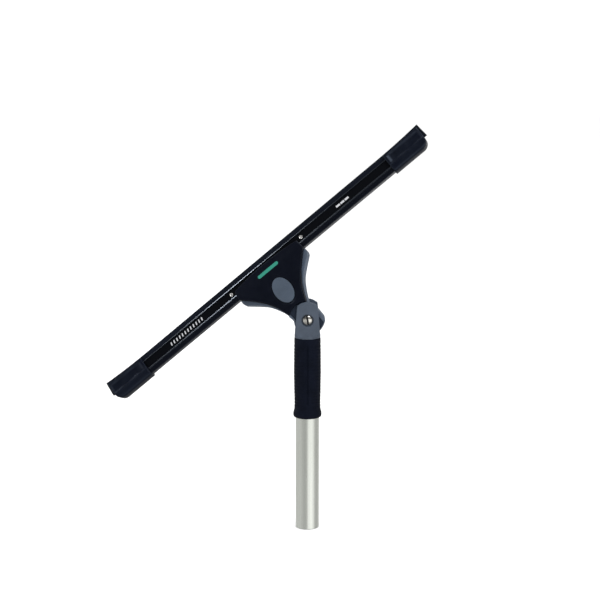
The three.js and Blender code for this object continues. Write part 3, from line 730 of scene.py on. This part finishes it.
def make_head_back():
    """The grey moulding, its grey lightened as painted light: the winged plate, the rear jaw, and
    the knuckle with its dishes.
    """
    flank = spline(WING_FLANK, 44)
    tip = rounded(
        [(41.1, 36.2), (45.6, 40.1), (46.6, 43.0), (46.4, PLATE_TOP), (0, PLATE_TOP)],
        [0, 2.2, 3.0, 0, 0], 6,
    )
    outline = flank[:-1] + tip[:-1] + [(0, PLATE_TOP)]
    body = prism("head_back_visual", mirrored(outline), PLATE_FRONT, PLATE_BACK, HEAD_PLASTIC_PAINTED_LIGHT)
    bevel(body, 1.0, 4, 50)
    # The jaw's lower corners are cut back, so that they stay hidden behind the wings.
    jaw_outline = [
        (-42.2, JAW_BOTTOM), (42.2, JAW_BOTTOM), (46.0, 43), (46.0, JAW_TOP), (-46.0, JAW_TOP),
        (-46.0, 43),
    ]
    jaw = prism(
        "jaw", rounded(jaw_outline, [1.5, 1.5, 2.5, 2.5, 2.5, 2.5]), JAW_FRONT, JAW_BACK,
        HEAD_PLASTIC_PAINTED_LIGHT,
    )
    bevel(jaw, 0.7, 3, 50)
    weld(body, jaw)
    pocket_half, pocket_floor = 12.8, 2.6
    pocket = block("pocket", -pocket_half, pocket_half, PLATE_FRONT - 5, pocket_floor, 12.5, 49.5)
    carve(body, pocket)
    holes = []
    for x, z, back in SCREW_PLACES:
        holes.append(rod("shank_hole", 1.5, -10, 12, (x, 0, z), 24))
        holes.append(rod("head_hole", 2.8, back - 2, 12, (x, 0, z), 48))
    carve(body, *holes)
    body.data.transform(PLATE_IN_HEAD)
    knuckle = prism(
        "knuckle", knuckle_outline(0, 0, KNUCKLE_TOP), -KNUCKLE_DEPTH, KNUCKLE_DEPTH, HEAD_PLASTIC_PAINTED_LIGHT)
    bevel(knuckle, 0.7, 3, 50)
    weld(body, knuckle)
    floor = KNUCKLE_DEPTH - DISH_DEPTH
    carve(
        body,
        dish_prism("front_dish", 0.0, -14, -floor),
        dish_prism("rear_dish", 0.0, floor, 14),
        rod("front_sweep", SWEEP_RADIUS, -40, -KNUCKLE_DEPTH - 0.2, segments=96),
        rod("rear_sweep", SWEEP_RADIUS, KNUCKLE_DEPTH + 0.2, 40, segments=96),
        rod("pivot_bore", 4.3, -20, 20),
    )
    bevel(body, 0.25, 2, 60, clamp=False)
    smooth(body, 40)
    place(body, HEAD_AXES, "head", ["head_back"])


# --- Front cover

COVER_FLANK = [(11.2, -7), (14.2, 1.5), (19.3, 14.2), (27.9, 27.65), (38.6, 39.9)]
COVER_SHOULDER = 1.9
COVER_SHELL, RIM_SINK, RIM_ROUND = 1.3, 0.55, 0.35
COVER_WIDTH, COVER_CORNER = 45.2, 43.0
# Distances from the opening's rim and from the outer edge at which the front face has corners
RIM_STEPS = [0.0, 0.12, 0.35, 0.7, 1.2, 1.8, 2.6, 3.4]
EDGE_STEPS = [4.5, 3.2, 2.4, 1.9, 1.5, 1.1, 0.75, 0.45, 0.2, 0.06, 0.0]


def cover_bottom(x, y):
    """Height on the plate where the cover's lower edge follows the swept circle, at depth y."""
    above_pivot = math.sqrt(max(0.0, SWEEP_RADIUS ** 2 - x ** 2))
    return (above_pivot - BEND_HEIGHT + y * math.sin(BEND)) / math.cos(BEND)


def cover_loop():
    """The cover's outline, anticlockwise from the middle of its lower edge.

    The second list says which of its points are on the swept circle."""
    flank = [
        (x, z) for x, z in spline(COVER_FLANK, 60) if z > cover_bottom(x, COVER_FRONT) + 1.2
    ]
    neck = flank[0]
    low = [(x, cover_bottom(x, COVER_FRONT)) for x in (neck[0] * k / 14 for k in range(14))]
    tip = rounded(
        [(38.6, 39.9), (46.0, 46.9), (46.9, 49.4), (COVER_WIDTH, COVER_TOP), (30, COVER_TOP + 2)],
        [0, 2.5, 2.2, 1.6, 0], 6,
    )[1:-1]
    top = [
        (x, COVER_TOP + COVER_CROWN * (1 - (x / COVER_WIDTH) ** 2))
        for x in (COVER_CORNER * (1 - k / 33) for k in range(34))
    ]
    tip = [point for point in tip if point[0] > 43.2]
    right = low[1:] + flank + tip + top[:-1]
    left = [(-x, z) for x, z in reversed(right)]
    loop = [low[0]] + right + [top[-1]] + left
    on_arc = [abs(x) < neck[0] and z < 8 for x, z in loop]
    return loop, on_arc


def cover_front(x, z):
    """Depth of the cover's front: crowned across, a band that leans back, and a ridge below."""
    crown, lean, ridge, ridge_width = 0.0006, 1.0, 0.45, 3.4
    depth = COVER_FRONT + crown * x * x
    depth += lean * ease(46.5, 60.5, z)
    depth -= ridge * bump(x, ridge_width) * (1 - ease(3.0, 6.5, z))
    return depth


def opening_rim(loop):
    """The point of the button's opening that faces each point of the outline."""
    centre = Vector((0, BUTTON_HEIGHT))
    half_width, half_height = BUTTON_HALF_WIDTH + BUTTON_GAP, BUTTON_HALF_HEIGHT + BUTTON_GAP
    rim = []
    for x, z in loop:
        direction = (Vector((x, z)) - centre).normalized()
        reach = 1 / math.sqrt((direction.x / half_width) ** 2 + (direction.y / half_height) ** 2)
        rim.append(centre + direction * reach)
    return rim


def cover_reaches(span):
    """Distances from the rim to the outer edge, close together at both ends."""
    start, stop = min(RIM_STEPS[-1], 0.42 * span), min(EDGE_STEPS[0], 0.42 * span)
    near_rim = [step / RIM_STEPS[-1] * start for step in RIM_STEPS]
    middle = [start + (span - start - stop) * (k / 12) for k in range(1, 12)]
    near_edge = [span - step / EDGE_STEPS[0] * stop for step in EDGE_STEPS]
    return near_rim + middle + near_edge


def make_cover():
    """The black cover: rings from the opening's wall over the front face and down its sides."""
    loop, on_arc = cover_loop()
    rim = opening_rim(loop)
    rings = [[(p.x, depth, p.y) for p in rim] for depth in (-10.0, -10.6)]
    columns = []
    for inner, outer in zip(rim, (Vector(point) for point in loop)):
        span = (outer - inner).length
        direction = (outer - inner) / span
        column = []
        for along in cover_reaches(span):
            point = inner + direction * along
            depth = cover_front(point.x, point.y)
            depth += RIM_SINK * (1 - ease(0.4, 2.6, along))
            depth += quarter_round(along, RIM_ROUND)
            depth += quarter_round(span - along, COVER_SHOULDER)
            column.append((point.x, depth, point.y))
        columns.append(column)
    rings += [list(ring) for ring in zip(*columns)]
    for part_way in (0.35, 0.7, 1.0):
        ring = []
        for (x, z), arc_point in zip(loop, on_arc):
            start = cover_front(x, z) + COVER_SHOULDER
            depth = start + (COVER_BACK - start) * part_way
            slide = cover_bottom(x, depth) - cover_bottom(x, start) if arc_point else 0.0
            ring.append((x, depth, z + slide))
        rings.append(ring)
    corners = [corner for ring in rings for corner in ring]
    faces = grid_faces(len(rings), len(loop), wrap_columns=True)
    cover = make_object("front_cover_visual", corners, faces, BLACK_PLASTIC)
    shell = cover.modifiers.new("shell", "SOLIDIFY")
    shell.thickness = COVER_SHELL * MM
    shell.offset = -1.0
    settle(cover)
    carve(cover, block("lever_slot", -LEVER_SLOT, LEVER_SLOT, COVER_INSIDE, 0, 50, 70))
    smooth(cover, 38, weighted=False)
    place(cover, PLATE_AXES, "head", ["front_cover"])


def make_badge():
    """A plain green bar printed on the cover's top band."""
    half_length, half_height, height = 14.4, 2.0, 52.4
    columns, rows = 40, 8
    corners = []
    for i in range(rows + 1):
        for j in range(columns + 1):
            u, v = 2 * j / columns - 1, 2 * i / rows - 1
            x = half_length * u
            past_straight = max(0.0, abs(x) - (half_length - half_height))
            round_end = math.sqrt(max(0.0, 1 - past_straight ** 2 / half_height ** 2))
            z = height + half_height * v * round_end
            corners.append((x, cover_front(x, z) - 0.07, z))
    badge = make_object("cover_badge", corners, grid_faces(rows + 1, columns + 1), GREEN_INK)
    film = badge.modifiers.new("film", "SOLIDIFY")
    film.thickness = 0.1 * MM
    film.offset = 0.0
    settle(badge)
    smooth(badge, 50, weighted=False)
    place(badge, PLATE_AXES, "head")


def make_button():
    """The oval release button, with a shallow dish for the thumb."""
    front, dish_width, dish_depth, segments = -12.5, 0.94, 0.75, 128
    rings = [(1.0, -9.6), (1.0, -11.9), (0.992, -12.2), (0.972, -12.42), (dish_width, front)]
    rings += [
        (dish_width * (1 - k / 9), front + dish_depth * (1 - (1 - k / 9) ** 2))
        for k in range(1, 9)
    ]
    corners = []
    for scale, y in rings:
        for cosine, sine in circle(segments):
            corners.append((
                BUTTON_HALF_WIDTH * scale * cosine, y,
                BUTTON_HEIGHT + BUTTON_HALF_HEIGHT * scale * sine,
            ))
    faces = tube_faces(len(rings), segments)
    button = make_object("release_button_visual", corners, faces, BUTTON_PLASTIC)
    smooth(button, 40, weighted=False)
    presser = block("presser", -3.6, 3.6, -9.7, -6.5, BUTTON_HEIGHT - 1.6, BUTTON_HEIGHT + 1.6)
    weld(button, presser)
    place(button, PLATE_AXES, "release_button", ["release_button"])


# --- Channel, rubber and end clips


def make_channel():
    """The extrusion, with its matt front groove and its three lock holes."""
    bottom, lip, back, groove = CHANNEL_BOTTOM, CHANNEL_LIP, CHANNEL_BACK, CHANNEL_GROOVE
    ridge, seat = GROOVE_BOTTOM, CHANNEL_SEAT
    # Y, Z and radius
    section = [
        (back, bottom + 0.9, 1.4), (back, lip, 0.6), (1.4, lip, 0.25), (1.4, lip - 1.7, 0.2),
        (2.7, lip - 2.5, 0.4), (2.7, seat, 1.0), (-2.5, seat, 1.0), (-2.5, lip - 2.5, 0.4),
        (-1.2, lip - 1.7, 0.2), (-1.2, lip, 0.25), (-4.6, lip, 0.3), (-4.95, lip - 1.0, 0.1),
        (groove, lip - 1.25, 0.15), (groove, ridge, 0.25), (-4.7, ridge - 0.1, 0.2),
        (-5.15, ridge - 1.5, 0.2), (-4.7, ridge - 1.9, 0.2), (-4.7, bottom + 0.4, 0.6),
    ]
    section = rounded([corner[:2] for corner in section], [corner[2] for corner in section], 4)
    stations = [-CHANNEL_HALF, -CHANNEL_HALF + 0.3]
    stations += [k * 20.0 for k in range(-10, 11)] + [CHANNEL_HALF - 0.3, CHANNEL_HALF]
    corners = [(x, y, z) for x in stations for y, z in section]
    faces = tube_faces(len(stations), len(section))
    channel = make_object("channel_visual", corners, faces, ANODISED)
    bore = [(0, -6), (1.95, -6), (1.95, groove), (1.8, groove + 0.2), (1.8, -1.5), (0, -1.5)]
    holes = [
        turned("lock_hole", bore, ANODISED, "Y", 40, (x, 0, LOCK_HOLE_HEIGHT))
        for x in (-LOCK_HOLE_SPACING, 0, LOCK_HOLE_SPACING)
    ]
    carve(channel, *holes)
    smooth(channel, 30)
    channel.data.materials.append(BLACK_FIELD)
    for face in channel.data.polygons:
        if abs(face.center.y / MM - groove) < 0.02 and ridge < face.center.z / MM < lip:
            face.material_index = 1
    place(channel, PLATE_AXES, "head", ["channel"])


def make_hole_rims():
    """The bare metal left where the lock holes were drilled and countersunk after anodising."""
    groove = CHANNEL_GROOVE
    profile = [
        (2.05, groove + 0.03), (1.9, groove - 0.10), (1.1, groove + 0.22), (0.55, groove + 0.75),
        (0.5, groove + 1.6), (0.9, groove + 1.6), (2.0, groove + 0.8),
    ]
    for name, x in (("left", -LOCK_HOLE_SPACING), ("right", LOCK_HOLE_SPACING)):
        centre = (x, 0, LOCK_HOLE_HEIGHT)
        rim = turned(f"lock_hole_rim_{name}", profile, BARE_RIM, "Y", 64, centre)
        smooth(rim, 50, weighted=False)
        place(rim, PLATE_AXES, "head")


def make_blade():
    """The rubber: a strip whose edge rises towards its ends, with a round bead in the channel."""
    riser, half = BLADE_EDGE_HALF - BLADE_RISE_LENGTH, BLADE_THICKNESS / 2
    edge = [(riser + BLADE_RISE_LENGTH * t, BLADE_EDGE + BLADE_END_RISE * t * t) for t in (
        k / 16 for k in range(16, -1, -1)
    )]
    outline = mirrored([(BLADE_BASE_HALF, BLADE_BASE)] + edge)
    blade = prism("blade", outline, BLADE_MID - half, BLADE_MID + half, BLADE_RUBBER)
    bevel(blade, 0.18, 2, 50)
    end, chamfer = BLADE_BASE_HALF, BULB_RADIUS - 0.2
    bead = turned("bead", [
        (0, 0.4 - end), (chamfer, 0.4 - end), (BULB_RADIUS, 0.6 - end),
        (BULB_RADIUS, end - 0.6), (chamfer, end - 0.4), (0, end - 0.4),
    ], BLADE_RUBBER, "X", 32, (0, BLADE_MID, BULB_HEIGHT))
    weld(blade, bead)
    smooth(blade, 40)
    place(blade, PLATE_AXES, "head", ["blade_rubber"])


def clip_bottom(x):
    """The clip's lower edge, which curves up at its outer corner."""
    radius = 9.7
    past = x - (CLIP_OUTER - radius)
    if past <= 0:
        return CLIP_BOTTOM
    return CLIP_BOTTOM + radius - math.sqrt(max(0.0, radius ** 2 - past ** 2))


def clip_face(x, z):
    """How far the clip's face is scooped at a point: a ridge with two finger hollows above it."""
    inner_hollow, outer_hollow, ridge_z = 189.7, 211.2, 55.9
    lengthwise = ease(CLIP_INNER + 1.6, CLIP_INNER + 6.5, x)
    lengthwise *= 1 - ease(CLIP_OUTER - 3.6, CLIP_OUTER - 0.6, x)
    hollows = 1.0 + 0.75 * bump(x - inner_hollow, 5.2) + 0.75 * bump(x - outer_hollow, 7.5)
    across = ease(56.4, 59.4, z) * (1 - ease(66.6, 69.6, z))
    scoop = 1.25 * hollows * across * lengthwise
    ridge = 0.30 * bump(z - ridge_z, 1.0) * ease(CLIP_INNER, CLIP_INNER + 3, x)
    lower = 0.022 * max(0.0, 55.0 - z) ** 2
    step = 0.35 * (1 - ease(CLIP_INNER + 1.2, CLIP_INNER + 2.2, x)) * ease(54, 60, z)
    return scoop - ridge + lower + step


def clip_section(x, steps):
    """The clip's section at x: down its front, up its back, and round the rubber's slot."""
    slot_half, slot_floor = 1.25, 66.9
    bottom = clip_bottom(x)
    height = CLIP_TOP - bottom
    end_fall = quarter_round(min(x - CLIP_INNER, CLIP_OUTER - x), 0.9 if x < 200 else 1.5)
    front, back = [], []
    for step in steps:
        z = CLIP_TOP - height * step
        fall = quarter_round(CLIP_TOP - z, 0.7) + quarter_round(z - bottom, min(2.6, 0.4 * height))
        front.append((CLIP_FRONT + clip_face(x, z) + fall + end_fall, z))
        back.append((CLIP_BACK - 0.6 * clip_face(x, z) - fall - end_fall, z))
    slot = [
        (BLADE_MID + slot_half, CLIP_TOP), (BLADE_MID + slot_half, slot_floor),
        (BLADE_MID - slot_half, slot_floor), (BLADE_MID - slot_half, CLIP_TOP),
    ]
    return front + back[::-1] + slot


def make_clip(side, name):
    stations = [CLIP_INNER + d for d in (0.0, 0.08, 0.25, 0.5, 0.9)]
    stations += [CLIP_INNER + 0.9 + 0.75 * k for k in range(1, 61)]
    stations = [x for x in stations if x < CLIP_OUTER - 1.7]
    stations += [CLIP_OUTER - d for d in (1.6, 1.2, 0.8, 0.5, 0.25, 0.08, 0.0)]
    steps = [0.0, 0.01, 0.03, 0.06] + [0.06 + 0.88 * k / 52 for k in range(1, 52)]
    steps += [0.94, 0.97, 0.99, 1.0]
    sections = [clip_section(x, steps) for x in stations]
    corners = [
        (side * x, y, z) for x, section in zip(stations, sections) for y, z in section
    ]
    faces = tube_faces(len(stations), len(sections[0]))
    clip = make_object(f"{name}_visual", corners, faces, CLIP_PLASTIC)
    smooth(clip, 42, weighted=False)
    place(clip, PLATE_AXES, "head", [name])


def print_plate(name, x0, x1, z0, z1, lean):
    """A thin bar printed in white on the channel's front groove."""
    outline = rounded([(x0, z0), (x1, z0), (x1 + lean, z1), (x0 + lean, z1)], [0.3] * 4, 3)
    bar = prism(name, outline, CHANNEL_GROOVE - 0.05, CHANNEL_GROOVE + 0.02, WHITE_INK)
    smooth(bar, 40, weighted=False)
    place(bar, PLATE_AXES, "head")


def make_channel_marks():
    """Plain marks: twelve slanted strokes near the left end and three bars near the right end."""
    stroke_start, stroke_pitch, stroke_width = -140.5, 4.1, 1.4
    for k in range(12):
        x = stroke_start + stroke_pitch * k
        print_plate(f"stroke_{k:02d}", x, x + stroke_width, 58.9, 62.7, 0.9)
    bar_start, bar_pitch, bar_width = 102.6, 6.2, 5.3
    for k in range(3):
        x = bar_start + bar_pitch * k
        print_plate(f"bar_{k}", x, x + bar_width, 59.4, 61.7, 0.0)


# --- Springs


def make_spring(name, radius, wire, depths, turns, height, axes, body):
    """A coil spring along Y, wound between the two depths."""
    low, high = min(depths) + wire, max(depths) - wire
    steps, sides = int(turns * 28), 12
    corners = []
    for step in range(steps + 1):
        angle = 2 * math.pi * turns * step / steps
        out = Vector((math.cos(angle), 0, math.sin(angle)))
        middle = Vector((0, low + (high - low) * step / steps, height)) + out * radius
        for cosine, sine in circle(sides):
            corners.append(middle + out * (wire * cosine) + Vector((0, wire * sine, 0)))
    faces = tube_faces(steps + 1, sides)
    spring = make_object(f"{name}_visual", corners, faces, SPRING_METAL)
    smooth(spring, 40, weighted=False)
    place(spring, axes, body, [name])
    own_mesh(spring)


# --- CAD pieces that show as they are

KEPT_NODES = [
    (BLACK_PLASTIC, ["locking_cone", "handle_core", "lock_lever"]),
    (BUTTON_PLASTIC, ["cone_catch"]),
    (POLE_METAL, ["cone_rivet"]),
    (SPRING_METAL, ["spring_washer"]),
    (SCREW_METAL, [
        "pivot_bush", "pivot_nut", "lever_pin", "lock_pin", "cover_screw_upper_left",
        "cover_screw_upper_right", "cover_screw_lower_left", "cover_screw_lower_right",
    ]),
]


def dress_kept_nodes():
    """Gives the CAD pieces that have no finer visual shape their materials."""
    for material, names in KEPT_NODES:
        for name in names:
            materials = frame["nodes"][name].data.materials
            materials.clear()
            materials.append(material)


# --- Studio


def pale_paint(name, value):
    """Matt paint for the floor, with barely visible changes of tone."""
    finish = Finish(name, 0.9, ior_level=0.1)
    rgb = (value, value, value)
    finish.colour(shade(rgb, 0.995), rgb, finish.noise(3.0))
    return finish.material


# What the camera and matt surfaces see, and what shiny surfaces mirror at most from the walls
BACKDROP_TONE, WALL_PEAK = 1.14, 1.2
# What shiny surfaces mirror above and below the horizon: two heights of the direction between
# which the tone blends in, and the tone
ROOM_BANDS = [(0.0, 0.2, 0.045), (0.72, 0.88, 0.35), (-0.38, -0.62, 0.25)]
# Tones that an upright shiny surface mirrors, by bearing in degrees from the front toward +X
WALL_TONES = [
    (-178, 0.95), (-140, 0.62), (-70, 0.62), (-45, 0.52), (-20, 0.45), (-4, 0.50), (8, 1.05),
    (38, 1.18), (58, 1.05), (76, 0.55), (100, 0.45), (140, 0.6), (178, 0.95),
]


def make_floor():
    reach, drop = 12.0, 0.0003
    ground = [(-reach, -reach, 0), (reach, -reach, 0), (reach, reach, 0), (-reach, reach, 0)]
    mesh = bpy.data.meshes.new("floor")
    mesh.from_pydata(ground, [], [(0, 1, 2, 3)])
    mesh.materials.append(pale_paint("pale floor", 0.93))
    floor = add_object("floor", mesh)
    floor.location = (0, 0, -drop)
    floor.visible_glossy = False


def fill_wall_ramp(ramp):
    """Puts the wall's tones on a colour ramp that runs round the horizon."""
    ramp.interpolation = "EASE"
    elements = ramp.elements
    while len(elements) > 1:
        elements.remove(elements[-1])
    for k, (degrees, tone) in enumerate(WALL_TONES):
        position = (degrees + 180) / 360
        element = elements[0] if k == 0 else elements.new(position)
        element.position = position
        element.color = (*[tone / WALL_PEAK] * 3, 1.0)


def make_world():
    """A white studio. Shiny surfaces mirror a darker room whose front has a bright stretch."""
    world = bpy.data.worlds.new("studio")
    bpy.context.scene.world = world
    world.use_nodes = True
    tree = world.node_tree
    direction = add_node(tree, "TexCoord", {}).outputs["Generated"]
    split = add_node(tree, "SeparateXYZ", {"Vector": direction})

    def calculated(operation, first, second):
        node = add_node(tree, "Math", {0: first, 1: second})
        node.operation = operation
        return node.outputs["Value"]

    def from_range(value, start, stop, interpolation):
        node = add_node(tree, "MapRange", {"From Min": start, "From Max": stop, "Value": value})
        node.interpolation_type = interpolation
        return node.outputs["Result"]

    forward = calculated("MULTIPLY", split.outputs["Y"], -1.0)
    bearing = calculated("ARCTAN2", split.outputs["X"], forward)
    turn = from_range(bearing, -math.pi, math.pi, "LINEAR")
    around = add_node(tree, "ValToRGB", {"Fac": turn})
    fill_wall_ramp(around.color_ramp)
    tone = calculated("MULTIPLY", around.outputs["Color"], WALL_PEAK)
    for start, stop, level in ROOM_BANDS:
        upward = from_range(split.outputs["Z"], start, stop, "SMOOTHSTEP")
        blend = add_node(tree, "Mix", {"Factor": upward, "A": tone, "B": level})
        tone = blend.outputs["Result"]
    glossy = add_node(tree, "LightPath", {}).outputs["Is Glossy Ray"]
    final = add_node(tree, "Mix", {"Factor": glossy, "A": BACKDROP_TONE, "B": tone})
    set_inputs(tree, tree.nodes["Background"], {
        "Color": (1.0, 1.0, 1.0, 1.0), "Strength": final.outputs["Result"],
    })


# Name, place, what it points at, width and height in metres, and power in watts
LIGHTS = [
    ("key", (0.7, -1.0, 1.9), (0, 0, 0.28), 0.9, 0.9, 14.0),
    ("left", (-1.3, -0.17, 1.36), (-0.05, 0, 0.28), 0.16, 0.16, 3.4),
    ("left_soft", (-1.35, 0.05, 1.45), (-0.05, 0, 0.28), 1.0, 1.0, 1.2),
    ("top", (0.2, 0.7, 1.9), (0, 0, 0.3), 1.2, 0.8, 10.0),
]


def make_lights():
    for name, location, target, width, height, power in LIGHTS:
        data = bpy.data.lights.new(name, "AREA")
        data.shape = "RECTANGLE"
        data.size, data.size_y = width, height
        data.energy = power
        lamp = add_object(name, data)
        lamp.location = location
        aim = Vector(target) - Vector(location)
        lamp.rotation_euler = aim.to_track_quat("-Z", "Y").to_euler()


def make_camera():
    target = Vector((-0.0083, 0.0, 0.2616))
    distance, elevation = 1.5, math.radians(10.0)
    data = bpy.data.cameras.new("camera")
    data.sensor_width = 36.0
    data.lens = 81.2
    camera = add_object("camera", data)
    back = Vector((0.0, -math.cos(elevation), math.sin(elevation)))
    camera.location = target + back * distance
    camera.rotation_euler = (-back).to_track_quat("-Z", "Y").to_euler()
    bpy.context.scene.camera = camera


make_camera()
make_pole()
make_grip()
make_fork()
make_pivot_screw()
make_head_back()
make_friction_plates()
make_cover()
make_badge()
make_button()
make_channel()
make_hole_rims()
make_blade()
make_clip(-1, "end_clip_left")
make_clip(1, "end_clip_right")
make_channel_marks()
make_spring("cone_spring", 2.5, 0.35, (-6.8, 1.5), 4.5, CATCH_HEIGHT,
            Matrix(), "handle")
make_spring("button_spring", 3.0, 0.4, (2.2, -4.2), 3.5, BUTTON_HEIGHT,
            PLATE_AXES, "head")
dress_kept_nodes()
make_floor()
make_world()
make_lights()
bpy.context.scene.view_settings.view_transform = "Standard"
